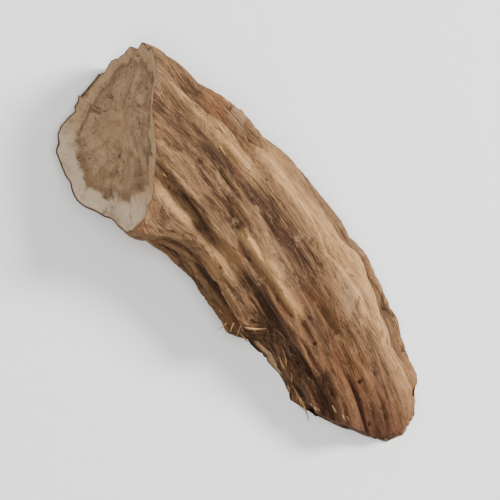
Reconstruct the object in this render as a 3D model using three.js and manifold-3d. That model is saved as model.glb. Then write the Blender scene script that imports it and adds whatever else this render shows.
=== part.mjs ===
// One piece of cut and dried burdock root, in millimetres.
// A bent, wrinkled stretch of thin root is lofted first, then cut the way the real piece is: a skewed knife
// cut at the thick end, a long bias cut underneath that the piece lies on, a splinter torn off the inner
// flank of the bend, and a blunt ragged tip.
// +X runs from the thick end to the tip, +Y is the outer side of the bend, +Z is up and the bias cut is
// z = 0. The lines below are laid out from the thick end, and the finished piece is then moved so that its
// origin is the bottom centre of its box.

import * as THREE from "three";
import { mergeVertices } from "three/addons/utils/BufferGeometryUtils.js";
import Module from "manifold-3d";

// The root's own line: an arc seen from above that sinks towards the bias cut as it nears the tip.
const BEND_RADIUS = 33;
const ARC_TOP = new THREE.Vector3(5.5, 0.4, 1.75); // where the arc runs along +X
const FALL_PER_MM = 0.19;
const ROOT_FROM = -9; // stations along the arc, counted from ARC_TOP
const ROOT_TO = 16;

// Half sizes of the root's section. Each is widest at one station and narrows either way as a parabola.
const OUTER_HALF_WIDTH = { most: 3.3, at: 5.2, narrowing: 0.012 };
const INNER_HALF_WIDTH = { most: 2.7, at: 3.0, narrowing: 0.001 };
const HALF_HEIGHT = { most: 2.6, at: 1.0, narrowing: 0.006 };

// The outer side fills out by this much between two stations.
const FILLED_OUT = { by: 0.1, from: 4, to: 7 };

// Wrinkles that run along the root: rounded tops with sharp furrows between them. Each family has a
// count round the root, a height, a first place, and a slow sideways wander along the root.
const WRINKLES = [
  { count: 9, height: 0.34, turn: 0.4, wander: 0.9, wave: 5.5, shift: 0.3 },
  { count: 14, height: 0.22, turn: 2.1, wander: 1.3, wave: 3.9, shift: 1.7 },
  { count: 21, height: 0.1, turn: 4.4, wander: 1.6, wave: 3.1, shift: 4.0 },
];
const WRINKLE_MEAN = 2 / Math.PI; // mean of |sin|, taken off so that wrinkles don't swell the root

// The knife cut at the thick end: the place it passes through, how far it is skewed across the root and
// leans back as it rises, its warp from drying, and its dish, because the pith shrinks most.
const END_CUT = { x: 2.75, y: -0.3, z: 2.35, skew: 0.71, rake: 1.02, twist: 0.3, dish: 0.03 };
// The cortex flares out as it nears that cut, on the inner side.
const RIM_FLARE = { height: 1.2, reach: 2.4, towards: THREE.MathUtils.degToRad(176) };
// The blunt tip: half a parabola each side of its foremost point seen from above, leaning back as it rises.
const TIP = { x: 18.72, y: -0.46, inner: 0.75, outer: 0.3, lean: 0.12 };
// Places that dried out of shape: where, how far each is pushed, and how widely. The first is a lip of
// cortex that curls out under the end cut, and the others round off the cut's upper end.
const PUSHES = [
  { at: new THREE.Vector3(6.15, -2, 3.2), by: new THREE.Vector3(0.25, -0.72, 0), reach: 1.15 },
  { at: new THREE.Vector3(1.75, 1.75, 3.8), by: new THREE.Vector3(0.36, 0.38, 0), reach: 1.3 },
  { at: new THREE.Vector3(0.6, 2.35, 1.8), by: new THREE.Vector3(0.42, -0.4, 0), reach: 0.85 },
];
// The splinter's wall runs along the grain, leans outwards as it goes down, and starts at a skewed ledge.
const SPLINTER = { across: -1.45, from: 6.5, ledgeSkew: 0.93, lean: 0.32, depth: 4 };
// Two waves along that wall: the height and the turn per millimetre of each.
const SLOW_WAVE = { height: 0.1, turn: 1.7 };
const QUICK_WAVE = { height: 0.05, turn: 4.3 };

const TOOL_REACH = 16; // how far a cutting tool reaches past what it cuts
const TOOL_STEPS = 16; // facets of its bent face each way
const SPLINTER_STEPS = 64; // facets of the splinter's wall along the grain
const SPLINTER_PAST_TIP = 2;
const ROUND_STEPS = 108; // facets of the bark, round and along
const LONG_STEPS = 44;

const DRY_BARK = { color: 0x8d6f56, roughness: 0.88, metalness: 0 };

// A point given by its station along the root's line, how far it is across towards the outer side of the
// bend, and its height above the line.
function fromRoot(station, across, up) {
  const turned = station / BEND_RADIUS;
  const outer = BEND_RADIUS + across;
  return new THREE.Vector3(
    ARC_TOP.x + outer * Math.sin(turned),
    ARC_TOP.y + outer * Math.cos(turned) - BEND_RADIUS,
    ARC_TOP.z - FALL_PER_MM * station + up,
  );
}

function halfSize({ most, at, narrowing }, station) {
  return most - narrowing * (station - at) ** 2;
}

// Where the end cut lies along X at a place y, z.
function endCutAt(y, z) {
  const across = y - END_CUT.y;
  const up = z - END_CUT.z;
  const dish = END_CUT.dish * (across ** 2 + up ** 2);
  const skew = END_CUT.skew + END_CUT.twist * up;
  return END_CUT.x - skew * across + END_CUT.rake * up - dish;
}

// Where the tip's face lies along X at a place y, z.
function tipAt(y, z) {
  const bluntness = y < TIP.y ? TIP.inner : TIP.outer;
  return TIP.x - bluntness * (y - TIP.y) ** 2 - TIP.lean * z;
}

// How far the wrinkled bark stands out from the smooth section.
function wrinkle(station, angle) {
  let height = 0;
  for (const w of WRINKLES) {
    const drift = w.wander * Math.sin(station / w.wave + w.shift);
    const fold = Math.abs(Math.sin((w.count * angle + w.turn + drift) / 2));
    height += w.height * (fold - WRINKLE_MEAN);
  }
  return height;
}

// How far the cortex flares out at a point of the smooth section.
function rimFlare(point, angle) {
  const fromCut = point.x - endCutAt(point.y, point.z);
  const facing = Math.max(0, Math.cos(angle - RIM_FLARE.towards));
  return RIM_FLARE.height * facing ** 2 * (1 - THREE.MathUtils.smoothstep(fromCut, 0, RIM_FLARE.reach));
}

function outerHalfWidth(station) {
  const filled = THREE.MathUtils.smoothstep(station, FILLED_OUT.from, FILLED_OUT.to);
  return halfSize(OUTER_HALF_WIDTH, station) + FILLED_OUT.by * filled;
}

// A point of the bark. Angle 0 looks to the outer side, a quarter turn up and a half turn to the inner
// side.
function bark(station, angle) {
  const cos = Math.cos(angle);
  const sin = Math.sin(angle);
  const halfWidth = cos > 0 ? outerHalfWidth(station) : halfSize(INNER_HALF_WIDTH, station);
  const halfHeight = halfSize(HALF_HEIGHT, station);
  const smooth = fromRoot(station, halfWidth * cos, halfHeight * sin);
  const proud = wrinkle(station, angle) + rimFlare(smooth, angle);
  return fromRoot(station, (halfWidth + proud) * cos, (halfHeight + proud) * sin);
}

// A point moved by every push, each a bell curve round its place.
function pushed(x, y, z) {
  const point = new THREE.Vector3(x, y, z);
  const moved = point.clone();
  for (const { at, by, reach } of PUSHES) {
    moved.addScaledVector(by, Math.exp(-point.distanceToSquared(at) / reach ** 2));
  }
  return moved;
}

function middleOf(points) {
  const sum = points.reduce((total, point) => total.add(point), new THREE.Vector3());
  return sum.divideScalar(points.length);
}

// A closed surface through rings of points, all the same way round, with a point in the middle of each end.
function loft(rings) {
  const round = rings[0].length;
  const lastRing = (rings.length - 1) * round;
  const firstMiddle = rings.length * round;
  const points = [...rings.flat(), middleOf(rings[0]), middleOf(rings.at(-1))];
  const faces = [];
  for (let j = 0; j < round; j++) {
    const next = (j + 1) % round;
    faces.push(firstMiddle, next, j);
    for (let here = 0; here < lastRing; here += round) {
      const there = here + round;
      faces.push(here + j, here + next, there + next);
      faces.push(here + j, there + next, there + j);
    }
    faces.push(firstMiddle + 1, lastRing + j, lastRing + next);
  }
  return new THREE.BufferGeometry().setFromPoints(points).setIndex(faces);
}

function rootStretch() {
  const rings = [];
  for (let i = 0; i <= LONG_STEPS; i++) {
    const station = THREE.MathUtils.lerp(ROOT_FROM, ROOT_TO, i / LONG_STEPS);
    const ring = [];
    for (let j = 0; j < ROUND_STEPS; j++) {
      ring.push(bark(station, (2 * Math.PI * j) / ROUND_STEPS));
    }
    rings.push(ring);
  }
  return loft(rings);
}

// A geometry with each of its vertices moved to where place() says.
function bent(geometry, place) {
  const position = geometry.getAttribute("position");
  const point = new THREE.Vector3();
  for (let i = 0; i < position.count; i++) {
    point.fromBufferAttribute(position, i);
    const moved = place(point.x, point.y, point.z);
    position.setXYZ(i, moved.x, moved.y, moved.z);
  }
  return geometry;
}

// What an end cut takes away: a block with one face bent to x = faceAt(y, z), reaching back the given way.
function wasteBehind(faceAt, reach) {
  const block = new THREE.BoxGeometry(1, TOOL_REACH, TOOL_REACH, 1, TOOL_STEPS, TOOL_STEPS);
  return bent(block, (x, y, z) => {
    const isFace = x > 0 === reach < 0;
    return new THREE.Vector3(isFace ? faceAt(y, z) : faceAt(y, z) + reach, y, z);
  });
}

// The splinter torn off the inner flank, from the ledge to past the tip.
function splinterWaste() {
  const length = ROOT_TO + SPLINTER_PAST_TIP - SPLINTER.from;
  const block = new THREE.BoxGeometry(length, 1, TOOL_REACH, SPLINTER_STEPS, 1, TOOL_STEPS);
  return bent(block, (x, y, z) => {
    const along = SPLINTER.from + length / 2 + x;
    const slow = SLOW_WAVE.height * Math.sin(SLOW_WAVE.turn * along);
    const quick = QUICK_WAVE.height * Math.sin(QUICK_WAVE.turn * along + z);
    const wall = SPLINTER.across + slow + quick + SPLINTER.lean * z;
    const across = y > 0 ? wall : wall - SPLINTER.depth;
    const ledge = SPLINTER.ledgeSkew * (across - SPLINTER.across);
    return fromRoot(along + ledge, across, z);
  });
}

// The waste under the bias cut.
function wasteBelow() {
  return new THREE.BoxGeometry(3 * TOOL_REACH, TOOL_REACH, TOOL_REACH).translate(0, 0, -TOOL_REACH / 2);
}

const wasm = await Module();
wasm.setup();

function solid(geometry) {
  geometry.deleteAttribute("normal");
  geometry.deleteAttribute("uv");
  const merged = mergeVertices(geometry);
  return new wasm.Manifold(
    new wasm.Mesh({
      numProp: 3,
      vertProperties: merged.getAttribute("position").array,
      triVerts: new Uint32Array(merged.getIndex().array),
    }),
  );
}

function geometryOf(manifold) {
  const { vertProperties, triVerts } = manifold.getMesh();
  const geometry = new THREE.BufferGeometry();
  geometry.setAttribute("position", new THREE.BufferAttribute(vertProperties, 3));
  geometry.setIndex(new THREE.BufferAttribute(triVerts, 1));
  geometry.computeVertexNormals();
  return geometry;
}

function rootPiece() {
  const wastes = [
    wasteBehind(endCutAt, -TOOL_REACH),
    wasteBehind(tipAt, TOOL_REACH),
    splinterWaste(),
    wasteBelow(),
  ];
  const cut = wastes.reduce((left, waste) => left.subtract(solid(waste)), solid(rootStretch()));
  const dried = bent(geometryOf(cut), pushed);
  dried.computeVertexNormals();
  const mesh = new THREE.Mesh(dried, new THREE.MeshStandardMaterial(DRY_BARK));
  mesh.name = "root_piece";
  const middle = new THREE.Box3().setFromObject(mesh).getCenter(new THREE.Vector3());
  mesh.position.set(-middle.x, -middle.y, 0);
  return mesh;
}

const piece = new THREE.Group();
piece.add(rootPiece());

export default piece;
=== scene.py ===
"""Builds the finished look of one piece of cut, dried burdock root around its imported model.

The shapes are worked out in millimetres along the root's own curved line, on a grid that runs round the
piece and along it, and turned into metres when a mesh is made.
"""

import math

import bpy
import numpy as np
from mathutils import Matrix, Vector


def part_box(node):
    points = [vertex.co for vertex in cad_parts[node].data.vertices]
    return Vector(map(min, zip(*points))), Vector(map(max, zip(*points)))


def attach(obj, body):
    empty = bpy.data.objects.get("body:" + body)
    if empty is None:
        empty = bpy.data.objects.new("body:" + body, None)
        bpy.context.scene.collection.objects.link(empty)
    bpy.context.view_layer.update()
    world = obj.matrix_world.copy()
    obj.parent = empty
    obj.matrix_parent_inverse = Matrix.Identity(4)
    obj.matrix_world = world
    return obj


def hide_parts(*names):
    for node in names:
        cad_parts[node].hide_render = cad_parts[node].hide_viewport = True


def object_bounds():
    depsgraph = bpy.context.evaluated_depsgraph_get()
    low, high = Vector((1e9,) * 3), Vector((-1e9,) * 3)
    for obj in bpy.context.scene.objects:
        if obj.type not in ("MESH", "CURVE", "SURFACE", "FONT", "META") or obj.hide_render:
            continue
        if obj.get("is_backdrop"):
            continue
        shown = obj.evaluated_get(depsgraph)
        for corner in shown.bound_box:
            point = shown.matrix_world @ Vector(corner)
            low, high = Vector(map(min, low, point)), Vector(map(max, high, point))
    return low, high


bl_info = {
    "name": "Dried Root Piece",
    "version": (1, 0, 0),
    "blender": (4, 5, 0),
    "location": "3D View > Sidebar > Dried Root",
    "description": "Makes a piece of cut and dried burdock root, its loose fibres and a plain studio",
    "category": "Add Mesh",
}

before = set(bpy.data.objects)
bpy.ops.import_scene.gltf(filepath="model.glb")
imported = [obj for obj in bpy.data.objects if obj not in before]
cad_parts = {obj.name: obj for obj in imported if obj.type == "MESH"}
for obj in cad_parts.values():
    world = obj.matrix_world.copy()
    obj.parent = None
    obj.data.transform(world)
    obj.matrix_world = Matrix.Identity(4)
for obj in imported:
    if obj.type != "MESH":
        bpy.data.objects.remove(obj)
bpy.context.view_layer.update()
NODE = "root_piece"
MM = 0.001
TURN = 2 * math.pi
# Random heights: how many rows before they repeat, and a count of cells round for what needn't close.
LATTICE_ROWS = 257
NEVER_ROUND = 997

# ---------------------------------------------------------------------------------------------------------
# The root's form, in millimetres
# ---------------------------------------------------------------------------------------------------------

# Its own line: an arc seen from above that sinks towards the flat underside as it nears the tip.
BEND_RADIUS = 33.0
ARC_TOP = (5.5, 0.4, 1.75)
FALL_PER_MM = 0.19

# Half sizes of its section: the most, the station of the most, and how fast it narrows either way.
OUTER_HALF_WIDTH = (3.3, 5.2, 0.012)
INNER_HALF_WIDTH = (2.7, 3.0, 0.001)
HALF_HEIGHT = (2.6, 1.0, 0.006)

# Wrinkles along the root: count round it, height, first place, sideways wander, wave length, shift.
WRINKLES = (
    (9, 0.34, 0.4, 0.9, 5.5, 0.3),
    (14, 0.22, 2.1, 1.3, 3.9, 1.7),
    (21, 0.10, 4.4, 1.6, 3.1, 4.0),
)
# Fine folds of the bark: cell length along, cells round, height, seed.
FOLDS = (
    (3.8, 27, 0.20, 3),
    (2.3, 58, 0.14, 5),
    (1.3, 112, 0.07, 7),
)
# How the folds drift sideways: a slow wave, and a sway in patches that grows with the count of cells.
FOLD_DRIFT = 0.6
FOLD_SWAY = {"most": 0.035, "length": 2.6, "cells": 11}
# Single ridges that stand out: angle in degrees, stations from and to, height, width, lean in degrees per
# mm, and how pale they are. On the ridge at 33 degrees, along the outer shoulder, the pale band is a
# painted highlight.
RIDGES = (
    (91, 3.1, 7.6, 0.34, 0.14, -0.4, 2.2),
    # Painted highlight: the broad pale band along the outer shoulder.
    (33, 1.0, 13.5, 0.26, 0.40, -0.3, 0.78),
    (117, -0.4, 2.4, 0.16, 0.14, 0.6, 0.8),
    (58, -1.5, 2.6, 0.13, 0.16, -0.5, 0.7),
    (47, 2.0, 9.0, 0.14, 0.12, -0.2, 0.8),
    (70, 6.2, 12.0, 0.13, 0.18, -0.3, 0.3),
    (118, 2.9, 5.1, 0.05, 0.55, 0.0, 0.5),
)
RIDGE_ENDS = {"start": 0.8, "stop": 0.9}
RIDGE_WOBBLE = {"most": 0.5, "length": 0.9}
CROSS_MARK_HEIGHT = 0.055
PIT_DEPTH = 0.13
# How much shallower the bark's relief is on the flared lip and by the end cut.
CALM = {"lip": 0.6, "by_cut": 0.45}

# The end cut, as x at a place y, z: a point of it, its skew, rake, warp and dish.
END_CUT = {"x": 2.75, "y": -0.3, "z": 2.35, "skew": 0.71, "rake": 1.02, "twist": 0.3, "dish": 0.03}
RIM_FLARE = {"height": 1.2, "reach": 2.4, "towards": math.radians(176)}
# The outer side fills out by this much between two stations.
FILLED_OUT = {"by": 0.1, "from": 4.0, "to": 7.0}
# Places that dried out of shape: where, how far each is pushed, and how widely. The first is the lip of
# cortex that curls out under the cut; the others round the cut's upper end.
PUSHES = (
    ((6.15, -2.0, 3.2), (0.25, -0.72, 0.0), 1.15),
    ((1.75, 1.75, 3.8), (0.36, 0.38, 0.0), 1.3),
    ((0.5, 2.45, 1.9), (0.38, -0.36, 0.0), 0.68),
    ((1.0, 1.55, 1.7), (-0.24, 0.22, 0.0), 0.7),
)
# The blunt tip, as x at a place y, z: it falls away faster on the inner side.
TIP = {"x": 18.78, "y": -0.46, "inner": 0.75, "outer": 0.3, "lean": 0.12, "ragged": 0.42}
# The torn flank: its wall across, its lean, and the skewed ledge where it starts.
TORN_WALL = {"across": -1.45, "lean": 0.32, "waves": 0.1, "fibres": 0.16, "splinters": 0.26}
LEDGE = {"x": 11.67, "y": -1.66, "skew": 0.93, "bend_from": -0.8, "bend": 0.22, "ragged": 0.7, "steep": 0.14}
# Before the ledge the wall is this much farther out, so that the bark hides it, and this much of the piece
# before the ledge has no wall at all.
HIDDEN_WALL = {"out": 3.2, "before": 0.08}
# How softly the bark turns into the wall, and the flank into the flat underside.
SOFT_EDGE = 0.012
ROUND_EDGE = 0.02
# Relief of the cut faces and of the tip, in millimetres.
BASE_RELIEF = {"grain": 0.05, "coarse": 0.07, "blade": 0.02}
END_RELIEF = {"rays": 0.14, "pores": 0.20, "lumps": 0.30, "cambium": 0.14, "pith": 0.20}
END_HALF_SIZE = (3.1, 2.5)
CAMBIUM = {"reach": 0.73, "waves": 0.05, "width": 0.035}
TIP_RELIEF = {"ends": 0.3, "lumps": 0.25}

# The grid: rings before and after the ledge, columns over the bark and under the piece, rings of the caps.
RINGS_TO_LEDGE = 190
RINGS_TO_TIP = 112
BARK_COLUMNS = 184
BASE_COLUMNS = 56
END_RINGS = 46
TIP_RINGS = 16
LEDGE_AT = RINGS_TO_LEDGE / (RINGS_TO_LEDGE + RINGS_TO_TIP)
# Finding the stations of a ring: a first guess at its section, then damped steps.
FIRST_GUESS = {"half_width": 2.8, "half_height": 2.2, "up": 1.5}
SOLVE_STEPS = 26
SOLVE_RATE = 0.75
# The corners of the underside: where across they are looked for, how far below the flat the bark is followed
# so that no furrow leaves it hanging above, and the steepest sine of their angle.
CORNER_ACROSS = 2.5
BASE_MARGIN = 0.3
STEEPEST_CORNER = 0.97
# How deep the underside may count as lying, so that no skin shows on it. 1 is the skin.
UNDERSIDE_DEPTH = 0.96

# Loose fibres, in millimetres: points along and round each, room above the flat, and how they lie.
FIBRE_STEPS = 12
FIBRE_SIDES = 6
FIBRE_CLEARANCE = 0.06
FIBRE_SUNK = 0.02
FIBRE_LIFT = (0.02, 0.22)
FIBRE_CURL = 0.25
FIBRE_RADIUS = (0.018, 0.042)
FIBRE_SHORTEST = 0.35
FIBRE_FORWARD_SHARE = 0.7
# Rings to either side that give a fibre's direction.
FIBRE_SPAN = 4
# Patches of loose fibres: how many, the share of the rings and of the bark's columns they start in, and the
# longest.
FIBRE_PATCHES = (
    (14, 0.60, 0.67, 0.66, 0.80, 0.8),
    (16, 0.72, 0.92, 0.76, 0.87, 1.2),
    (9, 0.00, 0.04, 0.35, 0.80, 0.4),
    (9, 0.20, 0.92, 0.20, 0.66, 1.1),
    (9, 0.96, 0.99, 0.40, 0.72, 0.35),
)

# The studio, in lengths of the piece's diagonal: each light's place to the right, ahead and up, its size,
# and its power in watts. The lens is in millimetres.
LIGHTS = {
    "overhead": (0.0, -1.0, 9.0, 6.0, 0.30),
    "key": (6.5, 2.5, 4.8, 2.2, 0.55),
}
ROOM_LIGHT = 0.38
FLOOR_REACH = 60
CAMERA_DISTANCE = 7.9
CAMERA_LENS = 300


def smoothstep(low, high, value):
    """0 below low, 1 above high, and a smooth S between them."""
    t = np.clip((value - low) / (high - low), 0, 1)
    return t * t * (3 - 2 * t)


def mix(a, b, amount):
    """a where amount is 0 and b where it is 1."""
    return a + (b - a) * amount


def lattice(along, round_, cells_round, seed):
    """Random heights from 0 to 1 at the corners of square cells, smoothly joined inside each cell. It repeats
    after cells_round cells round, so that it closes on itself. What callers add to a place only picks the
    stretch of it that they use."""
    rng = np.random.default_rng(seed)
    heights = rng.random((LATTICE_ROWS, cells_round))
    i = np.floor(along).astype(int)
    j = np.floor(round_).astype(int)
    s = smoothstep(0, 1, along - i)
    t = smoothstep(0, 1, round_ - j)
    i0, i1 = i % LATTICE_ROWS, (i + 1) % LATTICE_ROWS
    j0, j1 = j % cells_round, (j + 1) % cells_round
    near = mix(heights[i0, j0], heights[i0, j1], t)
    far = mix(heights[i1, j0], heights[i1, j1], t)
    return mix(near, far, s)


def from_root(station, across, up):
    """The place in X, Y, Z of a station along the root's line, a distance across towards the outer side of
    the bend and a height above the line: the arc of BEND_RADIUS, swept out to that side and tipped down."""
    turned = station / BEND_RADIUS
    outer = BEND_RADIUS + across
    return np.stack([
        ARC_TOP[0] + outer * np.sin(turned),
        ARC_TOP[1] + outer * np.cos(turned) - BEND_RADIUS,
        ARC_TOP[2] - FALL_PER_MM * station + up,
    ], axis=-1)


def to_root(place):
    """The station, distance across and height above the root's line of places in X, Y, Z."""
    x = place[..., 0] - ARC_TOP[0]
    y = place[..., 1] - ARC_TOP[1] + BEND_RADIUS
    station = BEND_RADIUS * np.arctan2(x, y)
    across = np.hypot(x, y) - BEND_RADIUS
    up = place[..., 2] - ARC_TOP[2] + FALL_PER_MM * station
    return np.stack([station, across, up], axis=-1)


def half_size(profile, station):
    """A half size of the section: its most, less a parabola either way along the root."""
    most, at, narrowing = profile
    return most - narrowing * (station - at) ** 2


def half_width(station, angle):
    """The half width on the side that an angle looks to, joined smoothly over the top."""
    side = smoothstep(-0.15, 0.15, np.cos(angle))
    filled_out = FILLED_OUT["by"] * smoothstep(FILLED_OUT["from"], FILLED_OUT["to"], station)
    return mix(half_size(INNER_HALF_WIDTH, station), half_size(OUTER_HALF_WIDTH, station) + filled_out, side)


def end_cut_at(y, z):
    """x of the end cut: a plane through a point, skewed and raked, twisted by their product and dished."""
    across = y - END_CUT["y"]
    up = z - END_CUT["z"]
    skew = END_CUT["skew"] + END_CUT["twist"] * up
    dish = END_CUT["dish"] * (across**2 + up**2)
    return END_CUT["x"] - skew * across + END_CUT["rake"] * up - dish


def ledge_at(y, z):
    """x of the ledge's sheet: a skewed plane that bends back towards the outer side."""
    bend = LEDGE["bend"] * np.maximum(0, y - LEDGE["bend_from"]) ** 2
    return LEDGE["x"] + LEDGE["skew"] * (y - LEDGE["y"]) - bend


def tip_at(y, z):
    """x of the tip's face: half a parabola on each side of its foremost point, leaning back as it rises, less
    broad and fine random notches."""
    bluntness = np.where(y < TIP["y"], TIP["inner"], TIP["outer"])
    broad = lattice(y / 0.55 + 60, z / 1.1 + 300, NEVER_ROUND, 93)
    fine = lattice(y / 0.22 + 60, z / 0.6 + 300, NEVER_ROUND, 94)
    notches = 0.6 * broad + 0.4 * fine
    return TIP["x"] - bluntness * (y - TIP["y"]) ** 2 - TIP["lean"] * z - TIP["ragged"] * notches


def sheet_at(along, y, z):
    """x of the sheet on which a ring lies. It goes from the end cut through the ledge to the tip."""
    before = mix(end_cut_at(y, z), ledge_at(y, z), along / LEDGE_AT)
    after = mix(ledge_at(y, z), tip_at(y, z), (along - LEDGE_AT) / (1 - LEDGE_AT))
    return np.where(along < LEDGE_AT, before, after)


# ---------------------------------------------------------------------------------------------------------
# Relief
# ---------------------------------------------------------------------------------------------------------

def wrinkles(station, angle):
    """The sum of rounded |sin| waves round the root, each wandering sideways along it."""
    height = 0
    for count, most, turn, wander, wave, shift in WRINKLES:
        drift = wander * np.sin(station / wave + shift)
        height = height + most * (np.abs(np.sin((count * angle + turn + drift) / 2)) - 2 / math.pi)
    return height


def folds(station, angle):
    """Ridged random cells, long along the root and narrow round it, that drift sideways as they go."""
    height = 0
    for length, count, most, seed in FOLDS:
        cells = FOLD_SWAY["cells"]
        sway = lattice(station / FOLD_SWAY["length"] + 80, cells * angle / TURN, cells, seed + 100) - 0.5
        drift = FOLD_DRIFT * np.sin(station / (3 * length) + seed) + FOLD_SWAY["most"] * count * sway
        cell = lattice(station / length + 40, count * angle / TURN + drift + count, count, seed)
        height = height + most * (2 * np.abs(2 * cell - 1) ** 0.8 - 1.25)
    return height


def ridges(station, angle):
    """Single ridges: a bell curve across each, which wobbles along it and has soft ends. Gives how pale the
    bark is there, from 0 to 1, which is bared fibres and, along the outer shoulder, a painted highlight;
    and the height."""
    pale = 0
    height = 0
    for degrees, start, stop, most, width, lean, paleness_and_highlight in RIDGES:
        middle = np.radians(degrees + lean * (station - start))
        off = (angle - middle) * half_size(HALF_HEIGHT, station) / width
        wobble = lattice(station / RIDGE_WOBBLE["length"] + 60, 0 * angle, 4, int(degrees)) - 0.5
        wobble = RIDGE_WOBBLE["most"] * wobble
        rise = smoothstep(start, start + RIDGE_ENDS["start"], station)
        ends = rise * (1 - smoothstep(stop - RIDGE_ENDS["stop"], stop, station))
        bell = np.exp(-((off + wobble) ** 2)) * ends
        pale = pale + paleness_and_highlight * bell
        height = height + most * bell
    return np.clip(pale, 0, 1), height


def cross_marks(station, angle):
    """Short raised lines across the root, in patches."""
    patch = smoothstep(0.5, 0.75, lattice(station / 2.2 + 20, 7 * angle / TURN, 7, 21))
    line = lattice(station / 0.22 + 90, 16 * angle / TURN, 16, 22)
    return CROSS_MARK_HEIGHT * patch * smoothstep(0.45, 0.9, line)


def pits(station, angle):
    """Small holes where rootlets and scabs came away: rare high cells, turned downwards."""
    cell = lattice(station / 0.4 + 30, 76 * angle / TURN, 76, 31)
    return smoothstep(0.9, 0.985, cell)


def rim_flare(station, angle):
    """How far the cortex flares out on the inner side as the root nears the end cut, and how near that is,
    from 0 to 1."""
    smooth = from_root(
        station,
        half_width(station, angle) * np.cos(angle),
        half_size(HALF_HEIGHT, station) * np.sin(angle),
    )
    from_cut = smooth[..., 0] - end_cut_at(smooth[..., 1], smooth[..., 2])
    facing = np.maximum(0, np.cos(angle - RIM_FLARE["towards"])) ** 2
    near = 1 - smoothstep(0, RIM_FLARE["reach"], from_cut)
    return RIM_FLARE["height"] * facing * near, near


def bark_relief(station, angle, depth):
    """How far the bark stands out from the smooth section, and how far that is without the flare: wrinkles,
    ridges, folds and cross marks, less pits. Depth scales all but the wrinkles."""
    flare, near = rim_flare(station, angle)
    calm = (1 - CALM["lip"] * smoothstep(0, 0.7, flare)) * (1 - CALM["by_cut"] * near)
    fine = ridges(station, angle)[1] + folds(station, angle) + cross_marks(station, angle)
    fine = fine - PIT_DEPTH * pits(station, angle)
    relief = calm * (wrinkles(station, angle) + depth * fine)
    return relief + flare, relief


def torn_wall(station, up, depth):
    """Across of the torn wall: it leans outwards going down, waves slowly, and has long sharp fibres."""
    waves = np.sin(1.7 * station) + 0.5 * np.sin(4.3 * station + up)
    fibres = lattice(station / 2.3 + 15, up / 0.13 + 400, NEVER_ROUND, 51) - 0.5
    splinters = np.abs(2 * lattice(station / 1.1 + 25, up / 0.34 + 300, NEVER_ROUND, 52) - 1)
    rough = TORN_WALL["fibres"] * fibres + TORN_WALL["splinters"] * (splinters - 0.5)
    return TORN_WALL["across"] + TORN_WALL["waves"] * waves + TORN_WALL["lean"] * up + depth * rough


def torn_share(along, angle):
    """0 before the ledge and 1 after it, with a ragged line between."""
    past = (along - LEDGE_AT) * 5.5
    broad = lattice(angle * 9, 0 * angle, 4, 61)
    fine = lattice(angle * 31, 0 * angle, 4, 62)
    ragged = LEDGE["ragged"] * (0.7 * broad + 0.3 * fine - 0.5)
    return smoothstep(0, LEDGE["steep"], past - ragged)


# ---------------------------------------------------------------------------------------------------------
# The piece's surface
# ---------------------------------------------------------------------------------------------------------

def flank_point(station, angle, along, depth):
    """A point of the bark or, past the ledge, of the torn wall, whichever is nearer the root's line, with how
    far it is torn, how proud the bark stands and how far it is sliced off by the flat underside. A soft
    minimum keeps the edge between bark and wall slightly round. The height becomes half its sum with the
    root of its square plus ROUND_EDGE squared, which keeps all of it above the flat."""
    proud, relief = bark_relief(station, angle, depth)
    across = (half_width(station, angle) + proud) * np.cos(angle)
    up = (half_size(HALF_HEIGHT, station) + proud) * np.sin(angle)
    wall = torn_wall(station, up, depth) - HIDDEN_WALL["out"] * (1 - torn_share(along, angle))
    nearest, never = 0.05, 9.0
    reach = np.where(across < -nearest, wall / np.minimum(across, -nearest), never)
    reach = np.where(along < LEDGE_AT - HIDDEN_WALL["before"], never, reach)
    nearer = np.exp(-1 / SOFT_EDGE) + np.exp(-np.clip(reach, nearest, 3) / SOFT_EDGE)
    kept = -SOFT_EDGE * np.log(nearer)
    place = from_root(station, across * kept, up * kept)
    below = place[..., 2].copy()
    place[..., 2] = 0.5 * (below + np.sqrt(below**2 + ROUND_EDGE**2))
    torn = smoothstep(0.0, 0.03, 1 - kept)
    sliced = smoothstep(0.03, -0.03, below)
    return place, torn, relief, sliced


def solve_stations(along, angle, depth):
    """The stations at which a ring's sheet meets the flank, by stepping each one towards the sheet."""
    y = FIRST_GUESS["half_width"] * np.cos(angle)
    z = FIRST_GUESS["up"] + FIRST_GUESS["half_height"] * np.sin(angle)
    station = sheet_at(along, y, z) - ARC_TOP[0]
    for _ in range(SOLVE_STEPS):
        place = flank_point(station, angle, along, depth)[0]
        gap = place[..., 0] - sheet_at(along, place[..., 1], place[..., 2])
        station = station - SOLVE_RATE * gap
    return station


def corner_angles(along):
    """The angles, on the outer and the inner side, at which each ring's flank meets the flat underside: the
    arc sine of how far down the flat is from the root's line, as a share of the section's half height."""
    outer = sheet_at(along, CORNER_ACROSS, 0.0) - ARC_TOP[0]
    inner = sheet_at(along, -CORNER_ACROSS, 0.0) - ARC_TOP[0]
    steepest = STEEPEST_CORNER
    line = ARC_TOP[2] - FALL_PER_MM * outer + BASE_MARGIN
    dip_outer = np.arcsin(np.clip(line / half_size(HALF_HEIGHT, outer), -steepest, steepest))
    line = ARC_TOP[2] - FALL_PER_MM * inner + BASE_MARGIN
    dip_inner = np.arcsin(np.clip(line / half_size(HALF_HEIGHT, inner), -steepest, steepest))
    wall = TORN_WALL["across"] - TORN_WALL["lean"] * line
    dip_torn = np.arctan2(line / half_size(HALF_HEIGHT, inner), -wall / half_size(INNER_HALF_WIDTH, inner))
    dip_inner = mix(dip_inner, dip_torn, smoothstep(-0.01, 0.01, along - LEDGE_AT))
    return -dip_outer, math.pi + dip_inner


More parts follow.
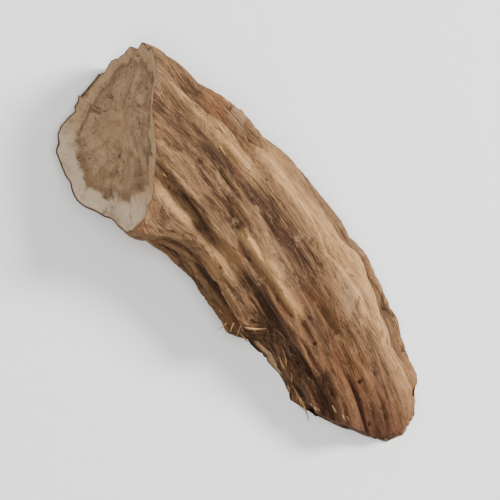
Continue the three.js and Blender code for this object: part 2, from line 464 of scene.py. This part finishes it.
def base_relief(station, across, depth):
    """Height of the knife-cut underside: grooves along the grain and faint marks of the blade across it."""
    grain = lattice(station / 2.6 + 12, across / 0.12 + 300, NEVER_ROUND, 71)
    coarse = lattice(station / 4.0 + 18, across / 0.5 + 300, NEVER_ROUND, 72)
    blade = lattice(station / 0.35 + 130, across / 3.0 + 300, NEVER_ROUND, 73)
    most = BASE_RELIEF
    return depth * (most["grain"] * grain + most["coarse"] * coarse + most["blade"] * blade)


def body_rings(depth):
    """The flank and underside: one row of places for each ring, and the marks that the finish reads. Each
    ring goes over the bark from the outer corner to the inner one, and back underneath on a chord."""
    along = np.concatenate([
        np.linspace(0, LEDGE_AT, RINGS_TO_LEDGE, endpoint=False),
        np.linspace(LEDGE_AT, 1, RINGS_TO_TIP),
    ])[:, None]
    start, stop = corner_angles(along)
    angle = mix(start, stop, np.linspace(0, 1, BARK_COLUMNS)[None, :])
    station = solve_stations(along, angle, depth)
    flank, torn, proud, sliced = flank_point(station, angle, along, depth)
    share = np.linspace(0, 1, BASE_COLUMNS + 2)[None, 1:-1]
    y = mix(flank[:, -1:, 1], flank[:, :1, 1], share)
    lift = 0.5 * (flank[:, -1:, 2] + flank[:, :1, 2])
    z = lift * np.ones_like(y)
    x = sheet_at(along, y, z)
    root = to_root(np.stack([x, y, z], axis=-1))
    edge = smoothstep(0, 0.04, share) * smoothstep(0, 0.04, 1 - share)
    z = z + edge * base_relief(root[..., 0], root[..., 1], depth)
    base = np.stack([x, y, z], axis=-1)
    zero = np.zeros_like(y)
    # How pale the bark is: bared fibres, and a painted highlight along the outer shoulder.
    pale = ridges(station, angle)[0]
    hole = pits(station, angle)
    marks = {
        "torn": np.concatenate([torn, zero], axis=1),
        "proud": np.concatenate([proud, zero], axis=1),
        "pale": np.concatenate([pale, zero], axis=1),
        "pitted": np.concatenate([hole, zero], axis=1),
        "cut": np.concatenate([sliced, zero + 1 - smoothstep(0.02, 0.1, lift)], axis=1),
    }
    return np.concatenate([flank, base], axis=1), marks


def end_relief(y, z, depth):
    """How far the end cut's face sinks in: a hollow pith, a groove along the cambium, rays and pores."""
    across = y - END_CUT["y"]
    up = z - END_CUT["z"]
    half_across, half_up = END_HALF_SIZE
    reach = np.hypot(across / half_across, up / half_up)
    turn = np.arctan2(up / half_up, across / half_across) / TURN
    rays = lattice(reach * 2.0 + 5, turn * 46 + 46, 46, 81) * smoothstep(0.1, 0.35, reach)
    pores = smoothstep(0.72, 0.95, lattice(across / 0.24 + 40, up / 0.24 + 300, NEVER_ROUND, 82))
    lumps = lattice(across / 0.6 + 40, up / 0.6 + 300, NEVER_ROUND, 83) - 0.5
    off_cambium = (reach - CAMBIUM["reach"] - CAMBIUM["waves"] * lumps) / CAMBIUM["width"]
    cambium = np.exp(-(off_cambium ** 2))
    pith = 1 - smoothstep(0.0, 0.3, reach)
    parts = {"rays": rays, "pores": pores, "lumps": lumps, "cambium": cambium, "pith": pith}
    return depth * sum(END_RELIEF[name] * part for name, part in parts.items())


def tip_relief(y, z, depth):
    """How far the tip's broken face sinks in: torn fibres that run along the root end unevenly."""
    ends = lattice(y / 0.17 + 60, z / 0.17 + 300, NEVER_ROUND, 91)
    lumps = lattice(y / 0.5 + 60, z / 0.5 + 300, NEVER_ROUND, 92) - 0.5
    return depth * (TIP_RELIEF["ends"] * ends + TIP_RELIEF["lumps"] * lumps)


def cap(ring, centre, rings, face_at, relief, sink):
    """A face that closes an end: rings of the outline shrunk towards a centre in Y and Z, with X from the
    sheet that the outline lies on, sunk by a relief that fades out at the rim, and one last centre point."""
    share = np.arange(1, rings) / rings
    y = mix(ring[None, :, 1], centre[0], share[:, None])
    z = mix(ring[None, :, 2], centre[1], share[:, None])
    y = np.append(y.ravel(), centre[0])
    z = np.append(z.ravel(), centre[1])
    inward = np.append(np.repeat(share, ring.shape[0]), 1.0)
    x = face_at(y, z) + sink * smoothstep(0, 0.1, inward) * relief(y, z)
    return np.stack([x, y, z], axis=-1)


def grid_faces(rings, columns):
    """Quads between neighbouring rings, each ring closed on itself."""
    i = np.arange(rings - 1)[:, None] * columns
    j = np.arange(columns)[None, :]
    k = (j + 1) % columns
    return np.stack([i + j, i + columns + j, i + columns + k, i + k], axis=-1).reshape(-1, 4)


def cap_faces(outline, first, rings, columns, flipped):
    """Quads from an outline's points through a cap's rings, and the triangles round its centre point."""
    inner = first + np.arange((rings - 1) * columns).reshape(rings - 1, columns)
    rows = np.concatenate([outline[None, :], inner])
    j = np.arange(columns)
    k = (j + 1) % columns
    quads = np.stack([rows[:-1, j], rows[:-1, k], rows[1:, k], rows[1:, j]], axis=-1).reshape(-1, 4)
    centre = np.full(columns, first + (rings - 1) * columns)
    tris = np.stack([rows[-1, j], rows[-1, k], centre], axis=-1)
    if flipped:
        quads, tris = quads[:, ::-1], tris[:, ::-1]
    return quads, tris


def pushed(points):
    """Points moved by PUSHES, each a bell curve round its place."""
    for place, by, reach in PUSHES:
        near = np.exp(-(((points - place) / reach) ** 2).sum(axis=-1, keepdims=True))
        points = points + near * by
    return points


def piece_surface(depth):
    """The whole piece as points in millimetres, quads, triangles, marks for its finish, and the places of its
    points along the root's own line."""
    body, marks = body_rings(depth)
    rings, columns, _ = body.shape
    flat = body.reshape(-1, 3)
    end_centre = (float(body[0, :, 1].mean()), float(body[0, :, 2].mean()))
    tip_centre = (float(body[-1, :, 1].mean()), float(body[-1, :, 2].mean()))
    end = cap(body[0], end_centre, END_RINGS, end_cut_at, lambda y, z: end_relief(y, z, depth), 1)
    tip = cap(body[-1], tip_centre, TIP_RINGS, tip_at, lambda y, z: tip_relief(y, z, depth), -1)
    root = to_root(np.concatenate([flat, end, tip]))
    points = pushed(np.concatenate([flat, end, tip]))
    end_quads, end_tris = cap_faces(np.arange(columns), len(flat), END_RINGS, columns, False)
    last = (rings - 1) * columns + np.arange(columns)
    tip_quads, tip_tris = cap_faces(last, len(flat) + len(end), TIP_RINGS, columns, True)
    quads = np.concatenate([grid_faces(rings, columns), end_quads, tip_quads])
    tris = np.concatenate([end_tris, tip_tris])
    filled = {"cut": (1, 0), "torn": (0, 1)}
    for name, rows in marks.items():
        on_end, on_tip = filled.get(name, (0, 0))
        marks[name] = np.concatenate([rows.ravel(), np.full(len(end), on_end), np.full(len(tip), on_tip)])
    side = half_width(root[:, 0], np.where(root[:, 1] > 0, 0.0, math.pi))
    marks["depth"] = np.hypot(root[:, 1] / side, root[:, 2] / half_size(HALF_HEIGHT, root[:, 0]))
    under = np.flatnonzero(np.tile(np.arange(columns) >= BARK_COLUMNS, rings))
    marks["depth"][under] = np.minimum(marks["depth"][under], UNDERSIDE_DEPTH)
    inward = np.append(np.repeat(1 - np.arange(1, END_RINGS) / END_RINGS, columns), 0.0)
    marks["depth"][len(flat):len(flat) + len(end)] = inward
    return points, quads, tris, marks, root


def fibre_roots(points, rings, columns):
    """Where loose fibres start, which way they lie, which way is out, and how long they are. They are drawn
    at random from the body's grid: most along the ledge and the torn wall, the rest at the cut's rim, on the
    bark and at the tip."""
    rng = np.random.default_rng(11)
    body = points[:rings * columns].reshape(rings, columns, 3)
    rows, places, longest = [], [], []
    for count, row_from, row_to, column_from, column_to, most in FIBRE_PATCHES:
        rows.append(rng.uniform(row_from, row_to, count) * (rings - 2 * FIBRE_SPAN - 1))
        places.append(rng.uniform(column_from, column_to, count) * BARK_COLUMNS)
        longest.append(rng.uniform(FIBRE_SHORTEST, 1.0, count) * most)
    i = np.concatenate(rows).astype(int) + FIBRE_SPAN
    j = np.concatenate(places).astype(int) + 1
    start = body[i, j]
    lie = body[i + FIBRE_SPAN, j] - body[i - FIBRE_SPAN, j]
    side = body[i, j + 1] - body[i, j - 1]
    out = np.cross(lie, side)
    out = out / np.linalg.norm(out, axis=1, keepdims=True)
    out = out * np.sign((out * (start - points.mean(axis=0))).sum(axis=1, keepdims=True))
    lie = lie / np.linalg.norm(lie, axis=1, keepdims=True)
    return start, lie, out, np.concatenate(longest)


def fibre_surface(points, rings, columns):
    """All the loose fibres as points, quads and triangles. Each is a thin tube that tapers to both ends and
    whose line starts just under the surface, lies along the grain, lifts off as a parabola and curls."""
    rng = np.random.default_rng(12)
    start, lie, out, length = fibre_roots(points, rings, columns)
    count = len(start)
    side = np.cross(lie, out)
    lift = rng.uniform(*FIBRE_LIFT, (count, 1, 1))
    curl = rng.uniform(-FIBRE_CURL, FIBRE_CURL, (count, 1, 1))
    heading = np.where(rng.random((count, 1, 1)) < FIBRE_FORWARD_SHARE, 1.0, -1.0)
    t = np.linspace(0, 1, FIBRE_STEPS)[None, :, None]
    reach = length[:, None, None] * t
    line = start[:, None] + heading * reach * lie[:, None]
    line = line + (lift * reach * t - FIBRE_SUNK) * out[:, None] + curl * reach * t * side[:, None]
    line[..., 2] = np.maximum(line[..., 2], FIBRE_CLEARANCE)
    radius = rng.uniform(*FIBRE_RADIUS, (count, 1, 1)) * np.sqrt(np.clip(1.02 - t**2, 0.01, 1))
    turn = np.linspace(0, TURN, FIBRE_SIDES, endpoint=False)[None, None, :, None]
    across = np.cos(turn) * out[:, None, None] + np.sin(turn) * side[:, None, None] * heading[..., None]
    tube = line[:, :, None] + radius[..., None] * across
    ends = line[:, [0, -1]]
    body = tube.reshape(count, -1, 3)
    made = np.concatenate([body, ends], axis=1)
    first = np.arange(count)[:, None, None] * made.shape[1]
    quads = (grid_faces(FIBRE_STEPS, FIBRE_SIDES)[None] + first).reshape(-1, 4)
    j = np.arange(FIBRE_SIDES)
    k = (j + 1) % FIBRE_SIDES
    last = (FIBRE_STEPS - 1) * FIBRE_SIDES
    low = np.full(FIBRE_SIDES, FIBRE_STEPS * FIBRE_SIDES)
    caps = np.concatenate([np.stack([k, j, low], -1), np.stack([last + j, last + k, low + 1], -1)])
    return made.reshape(-1, 3), quads[:, ::-1], (caps[None] + first).reshape(-1, 3)[:, ::-1]


def placed(points):
    """The move, in millimetres, that centres points on the CAD node's box in X and Y and rests them on its
    floor."""
    low, high = (np.array(corner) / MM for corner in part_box(NODE))
    middle = 0.5 * (low + high)
    mine = 0.5 * (points.min(axis=0) + points.max(axis=0))
    return np.array([middle[0] - mine[0], middle[1] - mine[1], low[2] - points[:, 2].min()])


def make_mesh(name, points, faces, shift):
    """A smooth-shaded mesh object at the origin, from points in millimetres and lists of faces."""
    mesh = bpy.data.meshes.new(name)
    mesh.from_pydata((points + shift) * MM, [], [face for group in faces for face in group.tolist()])
    mesh.polygons.foreach_set("use_smooth", np.ones(len(mesh.polygons), dtype=bool))
    mesh.update()
    made = bpy.data.objects.new(name, mesh)
    bpy.context.scene.collection.objects.link(made)
    return made


def add_mark(mesh, name, values):
    """A number or a vector at every vertex, for the finish to read."""
    kind, key = ("FLOAT_VECTOR", "vector") if values.ndim == 2 else ("FLOAT", "value")
    attribute = mesh.attributes.new(name, kind, "POINT")
    attribute.data.foreach_set(key, np.ascontiguousarray(values, dtype=np.float32).ravel())


# ---------------------------------------------------------------------------------------------------------
# Finishes
# ---------------------------------------------------------------------------------------------------------

def display(red, green, blue):
    """A colour given as it looks on a screen, from 0 to 255, as linear light."""
    parts = np.array([red, green, blue]) / 255
    linear = np.where(parts <= 0.04045, parts / 12.92, ((parts + 0.055) / 1.055) ** 2.4)
    return (*linear.tolist(), 1.0)


class Wire:
    """A socket whose value runs on through a material. Sums on it add Math nodes."""

    def __init__(self, finish, socket):
        self.finish = finish
        self.socket = socket

    def _math(self, operation, a, b):
        return self.finish.node("ShaderNodeMath", {"operation": operation}, {0: a, 1: b})

    def __add__(self, other):
        return self._math("ADD", self, other)

    __radd__ = __add__

    def __mul__(self, other):
        return self._math("MULTIPLY", self, other)

    __rmul__ = __mul__

    def __sub__(self, other):
        return self._math("SUBTRACT", self, other)

    def __rsub__(self, other):
        return self._math("SUBTRACT", other, self)

    def band(self, low, high):
        """0 below low and 1 above high, smoothly; the other way round where low is above high."""
        return self.finish.node(
            "ShaderNodeMapRange",
            {"interpolation_type": "SMOOTHSTEP", "clamp": True},
            {"Value": self, "From Min": low, "From Max": high, "To Min": 0.0, "To Max": 1.0},
        )


class Finish:
    """A material that is put together node by node."""

    def __init__(self, name):
        self.material = bpy.data.materials.new(name)
        self.material.use_nodes = True
        self.tree = self.material.node_tree
        self.tree.nodes.clear()

    def node(self, kind, settings=None, inputs=None, output=0):
        """Adds a node: its type, its settings, then the value or the wire for each of its sockets."""
        made = self.tree.nodes.new(kind)
        for key, value in (settings or {}).items():
            setattr(made, key, value)
        for key, value in (inputs or {}).items():
            if isinstance(value, Wire):
                self.tree.links.new(value.socket, made.inputs[key])
            else:
                made.inputs[key].default_value = value
        return Wire(self, made.outputs[output]) if made.outputs else None

    def mark(self, name, output="Fac"):
        """A number or vector that the mesh holds at its vertices."""
        return self.node("ShaderNodeAttribute", {"attribute_name": name}, output=output)

    def stretched(self, vector, scale):
        """A vector with each of its parts multiplied by a number."""
        return self.node("ShaderNodeVectorMath", {"operation": "MULTIPLY"}, {0: vector, 1: scale})

    def noise(self, vector, scale, detail=3.0, roughness=0.55):
        """Smooth random values round a half."""
        return self.node(
            "ShaderNodeTexNoise",
            {"noise_dimensions": "3D"},
            {"Vector": vector, "Scale": scale, "Detail": detail, "Roughness": roughness},
            "Fac",
        )

    def blend(self, amount, a, b, mode="MIX"):
        """Two colours mixed: a where amount is 0."""
        return self.node(
            "ShaderNodeMix",
            {"data_type": "RGBA", "blend_type": mode, "clamp_factor": True},
            {"Factor": amount, 6: a, 7: b},
            2,
        )

    def surface(self, colour, roughness, height, distance, specular):
        """The material's one shader: a matte surface with a bump in metres."""
        bump = self.node(
            "ShaderNodeBump", None, {"Strength": 1.0, "Distance": distance, "Height": height}
        )
        shader = self.node(
            "ShaderNodeBsdfPrincipled",
            None,
            {
                "Base Color": colour,
                "Roughness": roughness,
                "Normal": bump,
                "Specular IOR Level": specular,
            },
        )
        self.node("ShaderNodeOutputMaterial", None, {"Surface": shader})
        return self.material


def bark_layer(f, place, tones):
    """Wrinkled skin: dark in the furrows and pits, paler on the ridges and where the skin has flaked off,
    with streaks along the root and broad darker and redder clouds. Where the dark and the pale follow the
    bark's relief, they are partly its own colour and partly painted shade in the furrows and painted light
    on the tops of the ridges."""
    proud = f.mark("proud")
    streaks = f.noise(f.stretched(place, (0.42, 4.2, 4.2)), 1.0, 4.0, 0.6)
    threads = f.noise(f.stretched(place, (1.3, 15.0, 15.0)), 1.0, 3.0, 0.6)
    clouds = f.noise(f.stretched(place, (0.5, 0.75, 0.75)), 1.0, 3.0)
    grit = f.noise(f.stretched(place, (7.0, 9.0, 9.0)), 1.0, 2.0, 0.7)
    # Lightness from the relief and from random streaks: where the relief sinks it is partly painted shade,
    # and where it stands out it is partly painted light.
    light = proud * 0.8 + (streaks - 0.5) * 1.6 + (threads - 0.5) * 1.2 + (clouds - 0.5) * 0.6 + 0.5
    colour = f.blend(light.band(0.0, 0.55), tones["furrow"], tones["bark"])
    colour = f.blend(light.band(0.5, 1.05), colour, tones["ridge"])
    red = clouds.band(0.52, 0.68) * 0.5
    colour = f.blend(red, colour, tones["rust"])
    patches = f.noise(f.stretched(place, (0.55, 0.95, 0.95)), 1.3, 5.0, 0.62)
    colour = f.blend(patches.band(0.60, 0.64) * 0.6, colour, tones["flake"])
    # Pale bared fibres on the ridges, and a painted highlight along the outer shoulder.
    colour = f.blend(f.mark("pale") * threads.band(0.15, 0.5) * 0.95, colour, tones["pale"])
    split = f.node("ShaderNodeSeparateXYZ", None, {"Vector": place}).socket.node
    along, across = (Wire(f, split.outputs[name]) for name in ("X", "Y"))
    # Darker towards the tip, but not along the outer side.
    aged = (along + clouds * 5.0).band(5.5, 11.5) * (across + clouds).band(2.6, 1.6)
    colour = f.blend(aged * 0.75, colour, tones["aged"], "MULTIPLY")
    colour = f.blend(grit.band(0.40, 0.28) * 0.25, colour, tones["ridge"])
    stained = (along + streaks * 4.0).band(11.6, 14.6)
    colour = f.blend(stained * 0.62, colour, tones["stain"])
    dark = grit.band(0.60, 0.74) * 0.6
    colour = f.blend(dark, colour, tones["furrow"])
    colour = f.blend(f.mark("pitted") * 0.8, colour, tones["pit"])
    height = streaks * 0.6 + threads * 0.9 + grit * 0.5
    return colour, height


def cut_layer(f, place, tones):
    """Knife-cut wood, from the middle out: spongy pith, rayed and pored wood, a dark line, a pale cortex and
    the thin skin. Along the grain the same rays and pores show as lines."""
    parts = f.node("ShaderNodeSeparateXYZ", None, {"Vector": place}, "X")
    split = parts.socket.node
    along, across, up = (Wire(f, split.outputs[name]) for name in ("X", "Y", "Z"))
    spoke = f.node("ShaderNodeCombineXYZ", None, {"X": 0.0, "Y": across, "Z": up})
    spoke = f.node("ShaderNodeVectorMath", {"operation": "NORMALIZE"}, {0: spoke})
    spoke = f.stretched(spoke, (0.0, 13.0, 13.0))
    lumps = f.noise(f.stretched(place, (0.6, 1.7, 1.7)), 1.0, 4.0, 0.6)
    depth = f.mark("depth") + (lumps - 0.5) * 0.24
    drift = f.node("ShaderNodeCombineXYZ", None, {"X": depth * 1.4 + along * 0.5, "Y": 0.0, "Z": 0.0})
    spoke = f.node("ShaderNodeVectorMath", {"operation": "ADD"}, {0: spoke, 1: drift})
    rays = f.noise(spoke, 1.0, 3.0, 0.6)
    pores = f.noise(f.stretched(place, (0.8, 5.5, 5.5)), 1.0, 3.0, 0.65)
    fibre = f.noise(f.stretched(place, (1.5, 17.0, 17.0)), 1.0, 2.0, 0.6)
    light = (rays - 0.5) * 0.9 + (lumps - 0.5) * 1.6 + (fibre - 0.5) * 0.5 + 0.5
    colour = f.blend(light.band(0.1, 0.9), tones["wood_dark"], tones["wood"])
    colour = f.blend(depth.band(0.34, 0.12) * 0.6, colour, tones["pith"])
    mottle = f.noise(f.stretched(place, (0.9, 1.5, 1.5)), 1.3, 4.0, 0.65)
    colour = f.blend(mottle.band(0.55, 0.68) * 0.5, colour, tones["wood_dark"])
    colour = f.blend(mottle.band(0.42, 0.32) * 0.6, colour, tones["pith"])
    colour = f.blend(pores.band(0.57, 0.70) * depth.band(0.15, 0.35) * 0.8, colour, tones["pore"])
    cortex = depth.band(0.76, 0.84)
    rim = f.blend(across.band(-1.3, -2.6), tones["wood"], tones["rim"])
    colour = f.blend(cortex * light.band(-0.1, 0.6), colour, rim)
    line = depth.band(0.68, 0.74) * depth.band(0.82, 0.76)
    colour = f.blend(line * 0.4, colour, tones["pore"])
    colour = f.blend(depth.band(0.985, 1.02) * 0.8, colour, tones["bark"])
    height = rays * 0.4 + pores * -0.6 + fibre * 0.5 + lumps * 0.6
    return colour, height


def torn_layer(f, place, tones):
    """Torn wood: long fibres, with painted shade between them and a painted highlight where they catch the
    light.
    """
    fibres = f.noise(f.stretched(place, (0.5, 8.0, 8.0)), 1.0, 4.0, 0.65)
    clumps = f.noise(f.stretched(place, (0.9, 2.2, 2.2)), 1.0, 3.0)
    light = (fibres - 0.5) * 1.9 + (clumps - 0.5) * 1.3 + 0.5
    # Painted shade: the darker torn tone in the gaps between the fibres.
    colour = f.blend(light.band(0.1, 0.75), tones["torn_dark"], tones["torn"])
    # Painted highlight: the cut wood's tone where the fibres catch the light.
    colour = f.blend(light.band(0.8, 1.05), colour, tones["wood"])
    return colour, fibres * 1.2 + clumps * 0.5


def root_finish(settings):
    """The piece's finish: bark, cut wood and torn wood, each where the mesh says."""
    f = Finish("dried_root")
    tones = {name: tuple(getattr(settings, name)) for name in TONES}
    place = f.mark("grain", "Vector")
    bark, bark_height = bark_layer(f, place, tones)
    cut, cut_height = cut_layer(f, place, tones)
    torn, torn_height = torn_layer(f, place, tones)
    is_cut = f.mark("cut")
    is_torn = f.mark("torn")
    colour = f.blend(is_torn, f.blend(is_cut, bark, cut), torn)
    height = bark_height + (cut_height - bark_height) * is_cut
    height = height + (torn_height - height) * is_torn
    return f.surface(colour, 0.93 - is_cut * 0.03, height, 0.14 * MM, 0.25)


def fibre_finish(settings):
    """Bare fibres: pale, with darker lengths."""
    f = Finish("pale_fibre")
    place = f.node("ShaderNodeTexCoord", output="Object")
    lengths = f.noise(f.stretched(place, (1 / MM, 1 / MM, 1 / MM)), 1.4, 2.0)
    colour = f.blend(lengths.band(0.35, 0.65), tuple(settings.bark), tuple(settings.pale))
    return f.surface(colour, 0.85, lengths, 0.01 * MM, 0.25)


# Each tone of the piece, as it looks in plain light. The tones of the furrows, the ridges and the pale
# fibres, and the dark torn tone, also carry painted shade and painted highlights.
TONES = {
    # Darker skin of the furrows, and painted shade where the relief sinks.
    "furrow": ("Furrow", "Deep furrows of the bark", display(66, 44, 30)),
    "bark": ("Bark", "Bark between furrows and ridges", display(122, 91, 62)),
    # Tops of the ridges: worn, and painted light where the relief stands out.
    "ridge": ("Ridge", "Worn tops of the ridges, with painted light", display(174, 134, 92)),
    # Pale bared fibres, also used for the painted highlight along the outer shoulder.
    "pale": ("Pale fibre", "Bared fibres that stand out", display(194, 150, 102)),
    "aged": ("Darker to the tip", "What the bark is darkened by towards the tip", display(190, 172, 162)),
    "stain": ("Stain", "Darker red-brown by the tip", display(92, 56, 38)),
    "rust": ("Rust", "Redder clouds on the bark", display(120, 76, 50)),
    "flake": ("Flaked skin", "Where the outer skin has come off", display(150, 120, 90)),
    "pit": ("Pit", "Small holes in the bark", display(46, 30, 20)),
    "wood": ("Cut wood", "Knife-cut wood", display(176, 144, 108)),
    "wood_dark": ("Dark wood", "Darker rays of the cut wood", display(126, 98, 70)),
    "pith": ("Pith", "Spongy middle of the root", display(172, 138, 102)),
    "pore": ("Pores", "Pores and the line round the wood", display(80, 56, 38)),
    "rim": ("Cortex", "Pale cortex at the rim of a cut", display(198, 176, 148)),
    "torn": ("Torn wood", "Fibres of the torn flank", display(112, 80, 56)),
    # Painted shade in the gaps between the torn fibres.
    "torn_dark": ("Dark torn wood", "Painted shade in the gaps between torn fibres", display(44, 28, 19)),
}


# ---------------------------------------------------------------------------------------------------------
# Settings, operators and panel
# ---------------------------------------------------------------------------------------------------------

def tone_property(label, words, value):
    """A colour to choose in the panel."""
    return bpy.props.FloatVectorProperty(
        name=label, description=words, default=value, size=4, min=0, max=1, subtype="COLOR"
    )


class RootSettings(bpy.types.PropertyGroup):
    """Sizes and colours of the root piece."""

    __annotations__ = {name: tone_property(*tone) for name, tone in TONES.items()}
    __annotations__["relief"] = bpy.props.FloatProperty(
        name="Relief",
        description="Depth of the fine folds, pits, rays and fibres, as a share of the usual one",
        default=1.0,
        min=0.0,
        max=2.0,
        subtype="FACTOR",
    )


class StageSettings(bpy.types.PropertyGroup):
    """The camera and the floor."""

    __annotations__ = {
        "azimuth": bpy.props.FloatProperty(
            name="Azimuth",
            description="Which way the camera faces, seen from above",
            default=math.radians(47),
            subtype="ANGLE",
        ),
        "elevation": bpy.props.FloatProperty(
            name="Elevation",
            description="How far above the floor the camera looks down from",
            default=math.radians(86),
            subtype="ANGLE",
        ),
        "floor_colour": bpy.props.FloatVectorProperty(
            name="Floor",
            description="Colour of the floor",
            default=(0.93, 0.93, 0.92, 1.0),
            size=4,
            min=0,
            max=1,
            subtype="COLOR",
        ),
    }


def join_frame(made, finish):
    """Gives a made piece its finish, ties it to the body and hides the CAD node that it stands for."""
    made.data.materials.append(finish)
    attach(made, "root")
    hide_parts(NODE)


class DRIEDROOT_OT_piece(bpy.types.Operator):
    """Make the piece of root, from its end cut to its tip"""

    bl_idname = "driedroot.piece"
    bl_label = "Root Piece"

    def execute(self, context):
        settings = context.scene.dried_root
        points, quads, tris, marks, root = piece_surface(settings.relief)
        made = make_mesh("dried_root_piece", points, (quads, tris), placed(points))
        for name, values in marks.items():
            add_mark(made.data, name, values)
        add_mark(made.data, "grain", root)
        join_frame(made, root_finish(settings))
        return {"FINISHED"}


class DRIEDROOT_OT_fibres(bpy.types.Operator):
    """Make the loose fibres that stand off the cut, the torn flank, the bark and the tip"""

    bl_idname = "driedroot.fibres"
    bl_label = "Loose Fibres"

    def execute(self, context):
        settings = context.scene.dried_root
        points = piece_surface(settings.relief)[0]
        rings = RINGS_TO_LEDGE + RINGS_TO_TIP
        fibres, quads, tris = fibre_surface(points, rings, BARK_COLUMNS + BASE_COLUMNS)
        made = make_mesh("loose_fibres", fibres, (quads, tris), placed(points))
        join_frame(made, fibre_finish(settings))
        return {"FINISHED"}


class DRIEDROOT_OT_stage(bpy.types.Operator):
    """Lay the floor, light it softly from above and one side, and set up the camera"""

    bl_idname = "driedroot.stage"
    bl_label = "Stage"

    def execute(self, context):
        settings = context.scene.dried_root_stage
        low, high = (np.array(corner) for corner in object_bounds())
        middle = Vector((low + high) / 2)
        length = float(np.linalg.norm(high - low))
        make_floor(settings, float(low[2]), length)
        make_lights(settings, middle, length)
        make_camera(settings, middle, length)
        return {"FINISHED"}


def make_floor(settings, height, length):
    """A flat floor, far larger than the piece, of plain pale paper."""
    reach = FLOOR_REACH * length
    mesh = bpy.data.meshes.new("floor")
    corners = [(x * reach, y * reach, height) for x, y in ((-1, -1), (1, -1), (1, 1), (-1, 1))]
    mesh.from_pydata(corners, [], [(0, 1, 2, 3)])
    floor = bpy.data.objects.new("floor", mesh)
    bpy.context.scene.collection.objects.link(floor)
    f = Finish("pale_paper")
    place = f.node("ShaderNodeTexCoord", output="Object")
    tooth = f.noise(place, 900.0, 2.0)
    colour = f.blend(tooth.band(0.3, 0.7) * 0.04, tuple(settings.floor_colour), (0.7, 0.7, 0.7, 1.0))
    mesh.materials.append(f.surface(colour, 0.9, tooth, 0.01 * MM, 0.2))
    floor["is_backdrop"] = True


def view_axes(azimuth):
    """The camera's right and the way that is up in its view, both level."""
    right = Vector((math.cos(azimuth), math.sin(azimuth), 0))
    ahead = Vector((-math.sin(azimuth), math.cos(azimuth), 0))
    return right, ahead


def make_lights(settings, middle, length):
    """A broad soft box overhead, a key from the right, and pale light all round."""
    right, ahead = view_axes(settings.azimuth)
    for name, (rightwards, forwards, up, size, power) in LIGHTS.items():
        place = middle + rightwards * length * right + forwards * length * ahead
        place = place + Vector((0, 0, up * length))
        light = bpy.data.lights.new(name, "AREA")
        light.shape = "SQUARE"
        light.size = size * length
        light.energy = power
        lamp = bpy.data.objects.new(name, light)
        lamp.location = place
        lamp.rotation_euler = (middle - place).to_track_quat("-Z", "Y").to_euler()
        bpy.context.scene.collection.objects.link(lamp)
    world = bpy.data.worlds.new("pale_room")
    world.use_nodes = True
    world.node_tree.nodes["Background"].inputs["Color"].default_value = (1.0, 1.0, 1.0, 1.0)
    world.node_tree.nodes["Background"].inputs["Strength"].default_value = ROOM_LIGHT
    bpy.context.scene.world = world


def make_camera(settings, middle, length):
    """A long lens that looks down on the piece, which nearly fills the view."""
    right, ahead = view_axes(settings.azimuth)
    back = -ahead * math.cos(settings.elevation) + Vector((0, 0, math.sin(settings.elevation)))
    data = bpy.data.cameras.new("camera")
    data.lens = CAMERA_LENS
    data.clip_start = 0.5 * length
    data.clip_end = 200 * length
    camera = bpy.data.objects.new("camera", data)
    camera.location = middle + back * (CAMERA_DISTANCE * length)
    camera.rotation_euler = (-back).to_track_quat("-Z", "Y").to_euler()
    bpy.context.scene.collection.objects.link(camera)
    bpy.context.scene.camera = camera


class DRIEDROOT_PT_panel(bpy.types.Panel):
    """Lists what can be made"""

    bl_label = "Dried Root"
    bl_space_type = "VIEW_3D"
    bl_region_type = "UI"
    bl_category = "Dried Root"

    def draw(self, context):
        """One row for each setting and each operator."""
        settings = context.scene.dried_root
        for name in settings.__annotations__:
            self.layout.prop(settings, name)
        self.layout.operator(DRIEDROOT_OT_piece.bl_idname)
        self.layout.operator(DRIEDROOT_OT_fibres.bl_idname)
        stage = context.scene.dried_root_stage
        for name in stage.__annotations__:
            self.layout.prop(stage, name)
        self.layout.operator(DRIEDROOT_OT_stage.bl_idname)


CLASSES = (
    RootSettings,
    StageSettings,
    DRIEDROOT_OT_piece,
    DRIEDROOT_OT_fibres,
    DRIEDROOT_OT_stage,
    DRIEDROOT_PT_panel,
)


def register():
    """Makes the operators, the panel and the scene's settings known to Blender."""
    for made in CLASSES:
        bpy.utils.register_class(made)
    bpy.types.Scene.dried_root = bpy.props.PointerProperty(type=RootSettings)
    bpy.types.Scene.dried_root_stage = bpy.props.PointerProperty(type=StageSettings)


def unregister():
    """Takes back what register did, the other way round."""
    del bpy.types.Scene.dried_root_stage
    del bpy.types.Scene.dried_root
    for made in reversed(CLASSES):
        bpy.utils.unregister_class(made)


def main():
    """Makes the piece, its fibres and the stage."""
    register()
    bpy.ops.driedroot.piece()
    bpy.ops.driedroot.fibres()
    bpy.ops.driedroot.stage()


if __name__ == "__main__":
    main()
